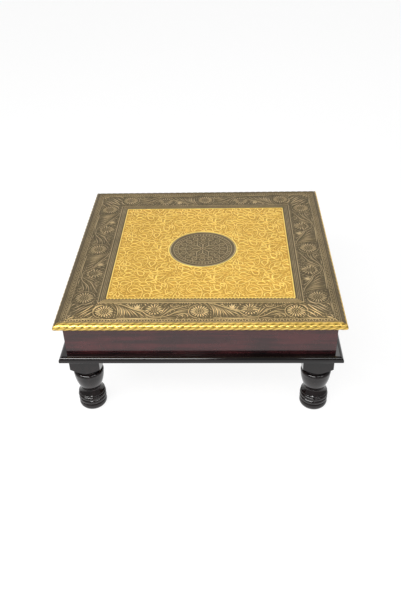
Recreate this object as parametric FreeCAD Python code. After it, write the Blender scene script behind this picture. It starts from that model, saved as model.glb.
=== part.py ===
import FreeCAD, Part
import math
import os

# Bajot: a low square table. A joined frame on short turned legs carries a thin wooden top
# that is clad in embossed brass sheet and edged with a rope-pattern brass strip.
# Millimetres. +Z is up, the front is -Y, and the origin is on the floor under the centre.

# Overall
TOP_SIDE = 457.0            # square top, over the rope edge
HEIGHT = 196.0              # floor to the crest of the rope edge

# Top board and its brass
BOARD_THICK = 10.0
TRIM_WALL = 1.2             # brass over the board's rounded edge
TRIM_RISE = 0.4             # the strip's nose sits this much above the board's middle
TRIM_LIP = 1.3              # flat of the strip inside the rounded edge
SHEET_THICK = 0.5
SHEET_GAP = 0.15            # hairline between one brass sheet and the next
BORDER_WIDTH = 66.5
MEDALLION_RADIUS = 60.0

# Frame
FRAME_OVERHANG = 12.5       # top board past the frame's face
LEG_STOCK = 50.0            # square timber that each leg is turned from
TURNED_HEIGHT = 95.5        # floor to where the leg is full square
RAIL_THICK = 18.0
RAIL_HEIGHT = 66.0
CORNER_ROUND = 1.5          # outer edge of each leg's square block

# Base moulding
MOULD_HEIGHT = 11.0
MOULD_PROJECTION = 12.0
MOULD_TOP_ROUND = 6.0       # nose above the vertical part
MOULD_FOOT_ROUND = 2.5      # and below it

# Cleats and screws
CLEAT_SIZE = 14.0
CLEAT_END_GAP = 6.0
SCREW_RADIUS = 1.75
SCREW_HEAD_RADIUS = 3.5
SCREW_HEAD_DEPTH = 2.5
SCREW_CLEARANCE = 0.05
BOARD_BITE = 5.5            # screw length inside the board
RAIL_BITE = 12.0            # screw length inside the rail
BOARD_SCREW_SHARE = 0.45    # screw places along half of a cleat
RAIL_SCREW_SHARE = 0.75
LEFT_SCREW_SHARES = (0.20, 0.60)     # screw levels in a rail's left end, up the rail
RIGHT_SCREW_SHARES = (0.40, 0.80)    # and in its right end, clear of the next rail's screws
OVERRUN = 5.0               # cutting tools run past the work by this much

# Raised work on the brass
RIB_HALF = 0.8              # half the width of a raised line
RIB_RISE = 0.6
PETAL_RISE = 0.5
FLOWER_RISE = 0.8
BUTTON_RISE = 1.0
DAISY_RADIUS = 15.0
DAISY_PETALS = 12
LOTUS_RADIUS = 14.0
LOTUS_PETALS = 9
DAISIES_PER_SIDE = 3
WREATH_PETALS = 16
MEDALLION_PETALS = 8

# Levels and half widths worked out from the sizes above
TOP_HALF = TOP_SIDE / 2
TRIM_RADIUS = BOARD_THICK / 2 + TRIM_WALL
FRAME_TOP = HEIGHT - TRIM_WALL - TRIM_RISE - BOARD_THICK
BOARD_TOP = FRAME_TOP + BOARD_THICK
SHEET_TOP = BOARD_TOP + SHEET_THICK
EDGE_CENTRE = TOP_HALF - TRIM_RADIUS
BORDER_OUTER = EDGE_CENTRE - TRIM_LIP
BORDER_INNER = BORDER_OUTER - BORDER_WIDTH
FRAME_HALF = TOP_HALF - FRAME_OVERHANG
POST_INNER = FRAME_HALF - LEG_STOCK
LEG_AXIS = FRAME_HALF - LEG_STOCK / 2
RAIL_BOTTOM = FRAME_TOP - RAIL_HEIGHT
RAIL_INNER = FRAME_HALF - RAIL_THICK

# Turned outline of a leg from the floor up. Heights are shares of TURNED_HEIGHT and radii are
# shares of half the stock. Each step is a point that the arc passes through and the arc's end,
# or an end alone where the cut is straight.
FOOT_START_SHARE = 0.75
LEG_STEPS_SHARES = (
    ((0.944, 0.077), (0.872, 0.136)),    # foot ring
    ((0.944, 0.175), (0.864, 0.215)),    # lower bead
    ((0.944, 0.257), (0.840, 0.293)),    # upper bead
    (None, (0.840, 0.305)),              # groove under the rim
    ((0.896, 0.313), (0.876, 0.329)),    # rim
    ((0.748, 0.369), (0.672, 0.408)),    # flare up to the neck
    ((0.706, 0.423), (0.684, 0.437)),    # collar
    ((0.900, 0.586), (1.000, 0.761)),    # vase
    ((0.972, 0.808), (0.840, 0.831)),    # vase shoulder
    (None, (0.840, 0.844)),              # groove under the pommel
    ((1.104, 0.927), (1.440, 1.000)),    # pommel, out past the stock's corners
)

# Raised lines along a border, as shares of its width from the panel outwards
RIB_SHARES = (0.03, 0.15, 0.19, 0.88, 0.975)
DAISY_CENTRE_SHARE = 0.53
LOTUS_CENTRE_SHARE = 0.44
DAISY_VALLEY_SHARE = 0.88
DAISY_BUTTON_SHARE = 0.30
LOTUS_VALLEY_SHARE = 0.60
LOTUS_BUTTON_SHARE = 0.22

# Rings and flowers of the medallion, as shares of its radius
MEDALLION_RING_SHARES = (0.50, 0.77, 0.98)
MEDALLION_WREATH_SHARE = 0.74
WREATH_VALLEY_SHARE = 0.93
MEDALLION_FLOWER_SHARE = 0.46
MEDALLION_VALLEY_SHARE = 0.50
MEDALLION_BUTTON_SHARE = 0.12

SIDES = ("front", "right", "back", "left")
CORNERS = ("front_left", "front_right", "back_right", "back_left")
QUARTER_TURN = 90
FULL_TURN = 360


def point(x, y, z):
    return FreeCAD.Vector(x, y, z)


def save(node, shape):
    shape.exportStep("parts/" + node + ".step")


def turned(shape, quarter):
    """The shape carried round the table's centre by quarter turns."""
    copy = shape.copy()
    copy.rotate(point(0, 0, 0), point(0, 0, 1), QUARTER_TURN * quarter)
    return copy


def block(low, high):
    size = [b - a for a, b in zip(low, high)]
    return Part.makeBox(size[0], size[1], size[2], point(*low))


def line(a, b):
    return Part.LineSegment(point(*a), point(*b)).toShape()


def arc(a, b, c):
    return Part.Arc(point(*a), point(*b), point(*c)).toShape()


def revolved(edges, x, y):
    """An outline in the XZ plane, closed on the Z axis, turned and moved to x, y."""
    solid = Part.Face(Part.Wire(edges)).revolve(point(0, 0, 0), point(0, 0, 1), FULL_TURN)
    solid.translate(point(x, y, 0))
    return solid


def mitred_run(face, reach):
    """A section in the YZ plane run along X on the front side and mitred at both corners."""
    run = face.extrude(point(2 * reach, 0, 0))
    run.translate(point(-reach, 0, 0))
    corners = [point(0, 0, 0), point(-reach, -reach, 0), point(reach, -reach, 0), point(0, 0, 0)]
    prism = Part.Face(Part.makePolygon(corners)).extrude(point(0, 0, HEIGHT + OVERRUN))
    return run.common(prism)


def section(edges):
    return Part.Face(Part.Wire(edges))


def round_petals(radius, valley_share, count):
    """Outline of a daisy: one arc for each petal, valley to valley over the tip."""
    edges = []
    valley = radius * valley_share
    step = 2 * math.pi / count
    for k in range(count):
        start, end = k * step - step / 2, k * step + step / 2
        a = (valley * math.cos(start), valley * math.sin(start), 0)
        b = (radius * math.cos(k * step), radius * math.sin(k * step), 0)
        c = (valley * math.cos(end), valley * math.sin(end), 0)
        edges.append(arc(a, b, c))
    return section(edges)


def pointed_petals(radius, valley_share, count):
    """Outline of a pointed flower: two bellied arcs for each petal, meeting at its tip."""
    edges = []
    valley = radius * valley_share
    step = 2 * math.pi / count
    belly = (radius + valley) / 2
    for k in range(count):
        angles = [k * step + share * step for share in (-1 / 2, -1 / 3, 0, 1 / 3, 1 / 2)]
        radii = (valley, belly, radius, belly, valley)
        spots = [(r * math.cos(t), r * math.sin(t), 0) for r, t in zip(radii, angles)]
        edges.append(arc(spots[0], spots[1], spots[2]))
        edges.append(arc(spots[2], spots[3], spots[4]))
    return section(edges)


def button(radius, rise):
    """A low dome for the middle of a flower: a cap of the sphere through its rim and its crown."""
    sphere = (radius ** 2 + rise ** 2) / (2 * rise)
    halfway = math.sqrt(sphere ** 2 - (radius / 2) ** 2) - (sphere - rise)
    edges = [
        line((0, 0, 0), (radius, 0, 0)),
        arc((radius, 0, 0), (radius / 2, 0, halfway), (0, 0, rise)),
        line((0, 0, rise), (0, 0, 0)),
    ]
    return revolved(edges, 0, 0)


def flower(outline, rise, button_radius, x, y):
    """A raised flower with a domed middle, standing on the brass sheet."""
    solid = outline.extrude(point(0, 0, rise)).fuse(button(button_radius, BUTTON_RISE))
    solid.translate(point(x, y, SHEET_TOP))
    return solid


def leg_outline(top):
    """Edges of a leg's turned outline, closed on its axis."""
    half = LEG_STOCK / 2
    here = (FOOT_START_SHARE * half, 0, 0)
    edges = [line((0, 0, 0), here)]
    for through, end in LEG_STEPS_SHARES:
        there = (end[0] * half, 0, end[1] * TURNED_HEIGHT)
        if through is None:
            edges.append(line(here, there))
        else:
            edges.append(arc(here, (through[0] * half, 0, through[1] * TURNED_HEIGHT), there))
        here = there
    edges.append(line(here, (here[0], 0, top)))
    edges.append(line((here[0], 0, top), (0, 0, top)))
    edges.append(line((0, 0, top), (0, 0, 0)))
    return edges


def rail_rebate():
    """The step in the front left leg that the front rail's end seats in."""
    low = (-FRAME_HALF - OVERRUN, -FRAME_HALF - OVERRUN, RAIL_BOTTOM)
    high = (-POST_INNER + OVERRUN, -RAIL_INNER, FRAME_TOP + OVERRUN)
    return block(low, high)


def make_leg():
    """The front left leg: turned below a square block, with a smaller post inside the rails."""
    stock = block((-FRAME_HALF, -FRAME_HALF, 0), (-POST_INNER, -POST_INNER, FRAME_TOP))
    corner = [e for e in stock.Edges if all(v.X < -LEG_AXIS and v.Y < -LEG_AXIS for v in e.Vertexes)]
    stock = stock.makeFillet(CORNER_ROUND, corner)
    leg = stock.common(revolved(leg_outline(FRAME_TOP), -LEG_AXIS, -LEG_AXIS))
    front_step = rail_rebate()
    side_step = front_step.mirror(point(0, 0, 0), point(1, -1, 0))
    return leg.cut([front_step, side_step] + every_side(corner_screw_set(SCREW_CLEARANCE)))


def make_rail():
    """The front rail, a plain board mitred at the corners of the frame."""
    corners = [
        point(0, -FRAME_HALF, RAIL_BOTTOM),
        point(0, -RAIL_INNER, RAIL_BOTTOM),
        point(0, -RAIL_INNER, FRAME_TOP),
        point(0, -FRAME_HALF, FRAME_TOP),
        point(0, -FRAME_HALF, RAIL_BOTTOM),
    ]
    rail = mitred_run(Part.Face(Part.makePolygon(corners)), FRAME_HALF + OVERRUN)
    return rail.cut(rail_screw_set(SCREW_CLEARANCE) + corner_screw_set(SCREW_CLEARANCE))


def make_moulding():
    """The front base moulding: a strip with a rounded nose, mitred at the corners."""
    nose = FRAME_HALF + MOULD_PROJECTION
    top = RAIL_BOTTOM + MOULD_HEIGHT
    diagonal = math.sqrt(1 / 2)
    upper, upper_line = top - MOULD_TOP_ROUND, nose - MOULD_TOP_ROUND
    lower, lower_line = RAIL_BOTTOM + MOULD_FOOT_ROUND, nose - MOULD_FOOT_ROUND
    upper_turn = (0, -upper_line - diagonal * MOULD_TOP_ROUND, upper + diagonal * MOULD_TOP_ROUND)
    lower_turn = (0, -lower_line - diagonal * MOULD_FOOT_ROUND, lower - diagonal * MOULD_FOOT_ROUND)
    edges = [
        line((0, -FRAME_HALF, top), (0, -upper_line, top)),
        arc((0, -upper_line, top), upper_turn, (0, -nose, upper)),
        line((0, -nose, upper), (0, -nose, lower)),
        arc((0, -nose, lower), lower_turn, (0, -lower_line, RAIL_BOTTOM)),
        line((0, -lower_line, RAIL_BOTTOM), (0, -FRAME_HALF, RAIL_BOTTOM)),
        line((0, -FRAME_HALF, RAIL_BOTTOM), (0, -FRAME_HALF, top)),
    ]
    return mitred_run(section(edges), nose + OVERRUN)


def make_board():
    """The wooden top with its edge rounded all the way round."""
    reach = EDGE_CENTRE + BOARD_THICK / 2
    board = block((-reach, -reach, FRAME_TOP), (reach, reach, BOARD_TOP))
    middle = FRAME_TOP + BOARD_THICK / 2
    nose = [
        line((0, -reach - OVERRUN, FRAME_TOP), (0, -EDGE_CENTRE, FRAME_TOP)),
        arc((0, -EDGE_CENTRE, FRAME_TOP), (0, -reach, middle), (0, -EDGE_CENTRE, BOARD_TOP)),
        line((0, -EDGE_CENTRE, BOARD_TOP), (0, -reach - OVERRUN, BOARD_TOP)),
        line((0, -reach - OVERRUN, BOARD_TOP), (0, -reach - OVERRUN, FRAME_TOP)),
    ]
    waste = mitred_run(section(nose), reach + 2 * OVERRUN)
    return board.cut(every_side([waste]) + every_side(board_screw_set(SCREW_CLEARANCE)))


def make_trim():
    """The front brass strip that wraps the board's rounded edge."""
    middle = FRAME_TOP + BOARD_THICK / 2
    lip = EDGE_CENTRE - TRIM_LIP
    crest = middle + TRIM_RISE + TRIM_RADIUS
    hem = middle + TRIM_RISE - TRIM_RADIUS
    board_half = EDGE_CENTRE + BOARD_THICK / 2
    edges = [
        line((0, -lip, BOARD_TOP), (0, -lip, crest)),
        line((0, -lip, crest), (0, -EDGE_CENTRE, crest)),
        arc((0, -EDGE_CENTRE, crest), (0, -TOP_HALF, middle + TRIM_RISE), (0, -EDGE_CENTRE, hem)),
        line((0, -EDGE_CENTRE, hem), (0, -EDGE_CENTRE, FRAME_TOP)),
        arc((0, -EDGE_CENTRE, FRAME_TOP), (0, -board_half, middle), (0, -EDGE_CENTRE, BOARD_TOP)),
        line((0, -EDGE_CENTRE, BOARD_TOP), (0, -lip, BOARD_TOP)),
    ]
    return mitred_run(section(edges), TOP_HALF + OVERRUN)


def border_section():
    """Section of a border sheet, with its raised lines."""
    inner, outer = BORDER_INNER, BORDER_OUTER - SHEET_GAP
    here = (0, -inner, SHEET_TOP)
    edges = [line((0, -inner, BOARD_TOP), here)]
    for share in RIB_SHARES:
        across = BORDER_INNER + share * BORDER_WIDTH
        near, crest, far = across - RIB_HALF, across, across + RIB_HALF
        edges.append(line(here, (0, -near, SHEET_TOP)))
        edges.append(arc((0, -near, SHEET_TOP), (0, -crest, SHEET_TOP + RIB_RISE), (0, -far, SHEET_TOP)))
        here = (0, -far, SHEET_TOP)
    edges.append(line(here, (0, -outer, SHEET_TOP)))
    edges.append(line((0, -outer, SHEET_TOP), (0, -outer, BOARD_TOP)))
    edges.append(line((0, -outer, BOARD_TOP), (0, -inner, BOARD_TOP)))
    return section(edges)


def make_border():
    """The front border sheet with its daisies and the lotus flowers between them."""
    sheet = mitred_run(border_section(), BORDER_OUTER + OVERRUN)
    pitch = TOP_SIDE / DAISIES_PER_SIDE
    first = -pitch * (DAISIES_PER_SIDE - 1) / 2
    daisy_line = -BORDER_INNER - DAISY_CENTRE_SHARE * BORDER_WIDTH
    lotus_line = -BORDER_INNER - LOTUS_CENTRE_SHARE * BORDER_WIDTH
    daisy = round_petals(DAISY_RADIUS, DAISY_VALLEY_SHARE, DAISY_PETALS)
    lotus = pointed_petals(LOTUS_RADIUS, LOTUS_VALLEY_SHARE, LOTUS_PETALS)
    daisy_button = DAISY_RADIUS * DAISY_BUTTON_SHARE
    lotus_button = LOTUS_RADIUS * LOTUS_BUTTON_SHARE
    flowers = []
    for k in range(DAISIES_PER_SIDE):
        flowers.append(flower(daisy, PETAL_RISE, daisy_button, first + k * pitch, daisy_line))
    for k in range(DAISIES_PER_SIDE - 1):
        flowers.append(flower(lotus, FLOWER_RISE, lotus_button, first + (k + 1 / 2) * pitch, lotus_line))
    return sheet.fuse(flowers)


def make_panel():
    """The bright square sheet, with a round hole for the medallion."""
    half = BORDER_INNER - SHEET_GAP
    sheet = block((-half, -half, BOARD_TOP), (half, half, SHEET_TOP))
    hole_depth = SHEET_THICK + 2 * OVERRUN
    hole = Part.makeCylinder(MEDALLION_RADIUS + SHEET_GAP, hole_depth, point(0, 0, BOARD_TOP - OVERRUN))
    return sheet.cut(hole)


def make_medallion():
    """The round sheet: raised rings, a scalloped wreath, a pointed flower and a button."""
    here = (0, 0, SHEET_TOP)
    edges = []
    for share in MEDALLION_RING_SHARES:
        middle = min(share * MEDALLION_RADIUS, MEDALLION_RADIUS - RIB_HALF)
        near, far = (middle - RIB_HALF, 0, SHEET_TOP), (middle + RIB_HALF, 0, SHEET_TOP)
        edges.append(line(here, near))
        edges.append(arc(near, (middle, 0, SHEET_TOP + RIB_RISE), far))
        here = far
    if here[0] < MEDALLION_RADIUS:
        edges.append(line(here, (MEDALLION_RADIUS, 0, SHEET_TOP)))
    edges.append(line((MEDALLION_RADIUS, 0, SHEET_TOP), (MEDALLION_RADIUS, 0, BOARD_TOP)))
    edges.append(line((MEDALLION_RADIUS, 0, BOARD_TOP), (0, 0, BOARD_TOP)))
    edges.append(line((0, 0, BOARD_TOP), (0, 0, SHEET_TOP)))
    disc = revolved(edges, 0, 0)
    wreath_radius = MEDALLION_WREATH_SHARE * MEDALLION_RADIUS
    flower_radius = MEDALLION_FLOWER_SHARE * MEDALLION_RADIUS
    button_radius = MEDALLION_BUTTON_SHARE * MEDALLION_RADIUS
    wreath_face = round_petals(wreath_radius, WREATH_VALLEY_SHARE, WREATH_PETALS)
    flower_face = pointed_petals(flower_radius, MEDALLION_VALLEY_SHARE, MEDALLION_PETALS)
    wreath = flower(wreath_face, PETAL_RISE, button_radius, 0, 0)
    centre = flower(flower_face, FLOWER_RISE, button_radius, 0, 0)
    return disc.fuse([wreath, centre])


def screw(length, grow):
    """A countersunk wood screw with its head at the origin and its point up."""
    head, shank = SCREW_HEAD_RADIUS + grow, SCREW_RADIUS + grow
    tip = length + grow
    edges = [
        line((0, 0, 0), (head, 0, 0)),
        line((head, 0, 0), (shank, 0, SCREW_HEAD_DEPTH)),
        line((shank, 0, SCREW_HEAD_DEPTH), (shank, 0, length - SCREW_RADIUS)),
        line((shank, 0, length - SCREW_RADIUS), (0, 0, tip)),
        line((0, 0, tip), (0, 0, 0)),
    ]
    return revolved(edges, 0, 0)


def cleat_half():
    return POST_INNER - CLEAT_END_GAP


def board_screw_set(grow):
    """The front cleat's screws up into the board."""
    spread = cleat_half() * BOARD_SCREW_SHARE
    screws = []
    for x in (-spread, spread):
        one = screw(CLEAT_SIZE + BOARD_BITE, grow)
        one.translate(point(x, -RAIL_INNER + CLEAT_SIZE / 2, FRAME_TOP - CLEAT_SIZE))
        screws.append(one)
    return screws


def rail_screw_set(grow):
    """The front cleat's screws sideways into the rail."""
    spread = cleat_half() * RAIL_SCREW_SHARE
    screws = []
    for x in (-spread, spread):
        one = screw(CLEAT_SIZE + RAIL_BITE, grow)
        one.rotate(point(0, 0, 0), point(1, 0, 0), QUARTER_TURN)
        one.translate(point(x, -RAIL_INNER + CLEAT_SIZE, FRAME_TOP - CLEAT_SIZE / 2))
        screws.append(one)
    return screws


def corner_screw_set(grow):
    """The screws through both front legs' posts into the ends of the front rail."""
    post_middle = (POST_INNER + RAIL_INNER) / 2
    length = RAIL_INNER - POST_INNER + RAIL_BITE
    screws = []
    for x, shares in ((-post_middle, LEFT_SCREW_SHARES), (post_middle, RIGHT_SCREW_SHARES)):
        for share in shares:
            one = screw(length, grow)
            one.rotate(point(0, 0, 0), point(1, 0, 0), QUARTER_TURN)
            one.translate(point(x, -POST_INNER, RAIL_BOTTOM + share * RAIL_HEIGHT))
            screws.append(one)
    return screws


def every_side(shapes):
    return [turned(shape, k) for k in range(len(SIDES)) for shape in shapes]


def make_cleat():
    """The front cleat, along the top of the rail's inner face."""
    low = (-cleat_half(), -RAIL_INNER, FRAME_TOP - CLEAT_SIZE)
    high = (cleat_half(), -RAIL_INNER + CLEAT_SIZE, FRAME_TOP)
    return block(low, high).cut(board_screw_set(SCREW_CLEARANCE) + rail_screw_set(SCREW_CLEARANCE))


def main():
    os.makedirs("parts", exist_ok=True)
    save("top_board", make_board())
    save("centre_panel", make_panel())
    save("medallion", make_medallion())
    leg = make_leg()
    for quarter, corner in enumerate(CORNERS):
        save("leg_" + corner, turned(leg, quarter))
    repeated = (
        ("apron", make_rail()),
        ("base_moulding", make_moulding()),
        ("edge_trim", make_trim()),
        ("border", make_border()),
        ("cleat", make_cleat()),
    )
    for name, shape in repeated:
        for quarter, side in enumerate(SIDES):
            save(name + "_" + side, turned(shape, quarter))
    save("board_screws", Part.makeCompound(every_side(board_screw_set(0))))
    save("rail_screws", Part.makeCompound(every_side(rail_screw_set(0))))
    save("corner_screws", Part.makeCompound(every_side(corner_screw_set(0))))


main()
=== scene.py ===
import itertools
import math
import random
import bmesh
import bpy
from mathutils import Matrix, Vector


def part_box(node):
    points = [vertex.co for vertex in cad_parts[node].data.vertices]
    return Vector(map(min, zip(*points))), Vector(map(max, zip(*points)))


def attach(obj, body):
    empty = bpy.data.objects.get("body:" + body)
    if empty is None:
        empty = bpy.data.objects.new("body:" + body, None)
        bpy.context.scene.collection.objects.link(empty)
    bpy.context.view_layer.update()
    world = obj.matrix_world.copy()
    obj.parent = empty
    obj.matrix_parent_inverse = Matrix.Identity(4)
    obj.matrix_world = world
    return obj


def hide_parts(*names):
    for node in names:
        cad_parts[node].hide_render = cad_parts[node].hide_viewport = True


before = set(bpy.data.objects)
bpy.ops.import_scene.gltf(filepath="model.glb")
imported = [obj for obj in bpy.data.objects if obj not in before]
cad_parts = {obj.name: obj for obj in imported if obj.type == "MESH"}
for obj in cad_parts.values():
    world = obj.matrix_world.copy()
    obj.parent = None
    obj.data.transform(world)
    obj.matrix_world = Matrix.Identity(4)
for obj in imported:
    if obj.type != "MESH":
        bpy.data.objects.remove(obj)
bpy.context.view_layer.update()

MM = 0.001


# Turned legs
# Four 50 mm hardwood posts. The top is sawn down to a smaller post that stands inside the rails, the
# foot is turned on a lathe, and all that shows is dipped in near-black lacquer.

def new_finish(name, **plain):
    """A finish with plain values set straight on the shader's own sockets."""
    finish = bpy.data.materials.new(name)
    finish.use_nodes = True
    shader = finish.node_tree.nodes["Principled BSDF"]
    for socket, value in plain.items():
        shader.inputs[socket.replace("_", " ")].default_value = value
    return finish


def put(tree, kind, settings=None, **inputs):
    """Adds a node to a tree and gives back its first output. Inputs go by name, or by number as in _0,
    and get a plain value or an output of another node."""
    made = tree.nodes.new(kind)
    for name, value in (settings or {}).items():
        setattr(made, name, value)
    for name, value in inputs.items():
        socket = made.inputs[int(name[1:]) if name[1:].isdigit() else name.replace("_", " ")]
        if isinstance(value, bpy.types.NodeSocket):
            tree.links.new(value, socket)
        else:
            socket.default_value = value
    return made.outputs[0]


def add(finish, kind, settings=None, **inputs):
    """Adds a shader node to a finish."""
    return put(finish.node_tree, "ShaderNode" + kind, settings, **inputs)


def object_place(finish):
    """Where a point of the piece lies, in metres."""
    return finish.node_tree.nodes.new("ShaderNodeTexCoord").outputs["Object"]


def ramp(finish, factor, *stops):
    """Colours, or greys, along a factor."""
    made = finish.node_tree.nodes.new("ShaderNodeValToRGB")
    finish.node_tree.links.new(factor, made.inputs["Fac"])
    while len(made.color_ramp.elements) < len(stops):
        made.color_ramp.elements.new(0.5)
    for element, (position, colour) in zip(made.color_ramp.elements, stops):
        element.position = position
        element.color = (*colour, 1.0) if isinstance(colour, tuple) else (colour, colour, colour, 1.0)
    return made.outputs["Color"]


def feed(finish, socket, output):
    """Links an output to a socket of the finish's shader."""
    finish.node_tree.links.new(output, finish.node_tree.nodes["Principled BSDF"].inputs[socket])


def lacquer(name, grain, deep, warm, gloss, sheen=0.0, uneven=0.012):
    """Glossy lacquer that lets a little of the hardwood's colour through, streaked along its grain."""
    finish = new_finish(name, Specular_IOR_Level=sheen, Specular_Tint=WOOD_SHEEN, Coat_Weight=1.0,
                        Coat_Roughness=gloss, Coat_IOR=1.5)
    place = object_place(finish)
    along = add(finish, "Mapping", Vector=place, Scale=grain)
    streaks = add(finish, "TexNoise", Vector=along, Scale=1.0, Detail=5.0, Roughness=0.62)
    clouds = add(finish, "TexNoise", Vector=place, Scale=14.0, Detail=3.0)
    mixed = add(finish, "Math", {"operation": "MULTIPLY"}, _0=streaks, _1=clouds)
    feed(finish, "Base Color", ramp(finish, mixed, (0.19, deep), (0.31, warm)))
    rubbed = add(finish, "TexNoise", Vector=place, Scale=55.0, Detail=4.0)
    feed(finish, "Roughness", ramp(finish, rubbed, (0.3, 0.22), (0.7, 0.36)))
    pores = add(finish, "TexNoise", Vector=along, Scale=3.0, Detail=3.0)
    feed(finish, "Normal", add(finish, "Bump", Height=pores, Strength=uneven, Distance=0.0006))
    return finish


WOOD_SHEEN = (1.0, 0.30, 0.30, 1.0)
LEG_GRAIN = (160.0, 160.0, 9.0)
leg_lacquer = lacquer("leg_lacquer", LEG_GRAIN, (0.004, 0.003, 0.003), (0.011, 0.007, 0.007), gloss=0.04)
for corner in ("front_left", "front_right", "back_left", "back_right"):
    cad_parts["leg_" + corner].data.materials[0] = leg_lacquer


# Apron rails
# Four hardwood boards mitred at the corners and screwed to the posts from inside. The lacquer is
# thinner here, so the red-brown of the wood shows in long streaks.

GRAIN_ALONG_X = (7.0, 150.0, 150.0)
GRAIN_ALONG_Y = (150.0, 7.0, 150.0)


def finish_frame(pieces, finish_name, make):
    """Finishes the four sides of a square frame, each with the grain along it."""
    for axis, grain, sides in (("x", GRAIN_ALONG_X, ("front", "back")),
                               ("y", GRAIN_ALONG_Y, ("left", "right"))):
        finish = make(finish_name + axis, grain)
        for side in sides:
            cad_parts[pieces + side].data.materials[0] = finish


finish_frame("apron_", "rail_lacquer_", lambda name, grain: lacquer(
    name, grain, (0.004, 0.005, 0.006), (0.048, 0.010, 0.012), gloss=0.08, sheen=0.45, uneven=0.12))


# Base mouldings
# A flat strip with a half-round nose, mitred round the foot of the frame, glued and pinned. It is
# lacquered like the legs, and its nose carries a long bright line.

finish_frame("base_moulding_", "moulding_lacquer_", lambda name, grain: lacquer(
    name, grain, (0.002, 0.0015, 0.0015), (0.006, 0.003, 0.003), gloss=0.05))


# Top board and cleats
# The board under the brass and the four cleats that hold it are plain planed wood. Nobody sees them
# but from below, so they have no lacquer.

def plain_wood(name, grain):
    """Planed wood with darker growth lines and open pores along the grain."""
    finish = new_finish(name, Specular_IOR_Level=0.3)
    along = add(finish, "Mapping", Vector=object_place(finish), Scale=grain)
    growth = add(finish, "TexNoise", Vector=along, Scale=0.5, Detail=7.0, Roughness=0.6, Distortion=0.6)
    feed(finish, "Base Color", ramp(finish, growth, (0.30, (0.20, 0.115, 0.058)),
                                    (0.52, (0.33, 0.205, 0.112)), (0.72, (0.42, 0.275, 0.160))))
    pores = add(finish, "TexNoise", Vector=along, Scale=4.0, Detail=4.0)
    feed(finish, "Roughness", ramp(finish, pores, (0.3, 0.55), (0.7, 0.78)))
    feed(finish, "Normal", add(finish, "Bump", Height=pores, Strength=0.35, Distance=0.0005))
    return finish


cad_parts["top_board"].data.materials[0] = plain_wood("board_wood", GRAIN_ALONG_X)
finish_frame("cleat_", "cleat_wood_", plain_wood)


# Screws
# Countersunk steel screws go up through the cleats into the board, sideways into the rails, and
# through the posts into the rails' ends.

screw_steel = new_finish("screw_steel", Metallic=1.0)
tarnish = add(screw_steel, "TexNoise", Vector=object_place(screw_steel), Scale=420.0, Detail=4.0)
feed(screw_steel, "Base Color", ramp(screw_steel, tarnish, (0.3, (0.33, 0.32, 0.31)),
                                     (0.7, (0.58, 0.57, 0.55))))
feed(screw_steel, "Roughness", ramp(screw_steel, tarnish, (0.3, 0.30), (0.7, 0.52)))
for group in ("board_screws", "rail_screws", "corner_screws"):
    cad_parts[group].data.materials[0] = screw_steel


# Embossed borders
# Four strips of brass sheet, mitred at the corners and tacked to the board. A vine with daisies and
# lotus flowers is pressed up from below; acid has darkened the ground and a cloth has rubbed the
# raised work bright. The front strip is painted lighter, a painted highlight of the lamps in front,
# and the other three are painted darker, as shade.

# How far height, stains and grime carry a brass's colour along its ramp.
CREST_SHARE = 0.62
STAIN_SHARE = 0.30
GRIME_SHARE = 0.16


def embossed_brass(name, levels, colours, roughness, metal, punch, beating=0.25):
    """Pressed brass sheet. Its colours run from the ground to the crest: from one level to another, or,
    without levels, by the piece's own 'crest' values, which paint shade into its grooves."""
    finish = new_finish(name, Metallic=metal)
    place = object_place(finish)
    if levels:
        split = finish.node_tree.nodes.new("ShaderNodeSeparateXYZ")
        finish.node_tree.links.new(place, split.inputs[0])
        height = add(finish, "MapRange", {"clamp": True}, Value=split.outputs["Z"],
                     From_Min=levels[0], From_Max=levels[1], To_Min=0.0, To_Max=CREST_SHARE)
    else:
        # The 'crest' values are low in a piece's grooves, so its colour darkens there as painted shade.
        crest = add(finish, "Attribute", {"attribute_name": "crest"})
        height = add(finish, "Math", {"operation": "MULTIPLY"}, _0=crest, _1=CREST_SHARE)
    stains = add(finish, "TexNoise", Vector=place, Scale=34.0, Detail=5.0, Roughness=0.6)
    grime = add(finish, "TexNoise", Vector=place, Scale=420.0, Detail=3.0)
    worn = add(finish, "Math", {"operation": "MULTIPLY_ADD"}, _0=stains, _1=STAIN_SHARE, _2=height)
    worn = add(finish, "Math", {"operation": "MULTIPLY_ADD"}, _0=grime, _1=GRIME_SHARE, _2=worn)
    feed(finish, "Base Color", ramp(finish, worn, *colours))
    feed(finish, "Roughness", ramp(finish, worn, (0.2, roughness[0]), (0.8, roughness[1])))
    pits = add(finish, "TexVoronoi", {"feature": "F1"}, Vector=place, Scale=punch)
    dents = add(finish, "TexNoise", Vector=place, Scale=26.0, Detail=2.0)
    beaten = add(finish, "Bump", Height=dents, Strength=beating, Distance=0.002)
    marked = add(finish, "Bump", Height=pits, Strength=1.8 * beating, Distance=0.0004, Normal=beaten)
    feed(finish, "Normal", marked)
    return finish


def smooth_line(points, step):
    """A smooth line through given points, sampled about every step."""
    ends = [points[0], *points, points[-1]]
    line = []
    for before, start, end, after in zip(ends, ends[1:], ends[2:], ends[3:]):
        parts = max(2, round(math.dist(start, end) / step))
        for part in range(parts):
            t = part / parts
            line.append(tuple(
                0.5 * (2 * b + (c - a) * t + (2 * a - 5 * b + 4 * c - d) * t * t
                       + (3 * b - a - 3 * c + d) * t ** 3)
                for a, b, c, d in zip(before, start, end, after)))
    line.append(tuple(points[-1]))
    return line


def stroke(work, points, width, taper=(0.5, 1.0, 0.35), step=2.2):
    """One raised line of the pattern, in millimetres. Taper scales its width at start, middle and end."""
    line = smooth_line(points, step)
    last = len(line) - 1
    halves = []
    for index in range(len(line)):
        share = 2 * index / last
        low, high, blend = (taper[0], taper[1], share) if share < 1 else (taper[1], taper[2], share - 1)
        halves.append(0.5 * width * (low + (high - low) * math.sin(0.5 * math.pi * blend) ** 2))
    work.append((line, halves))


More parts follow.
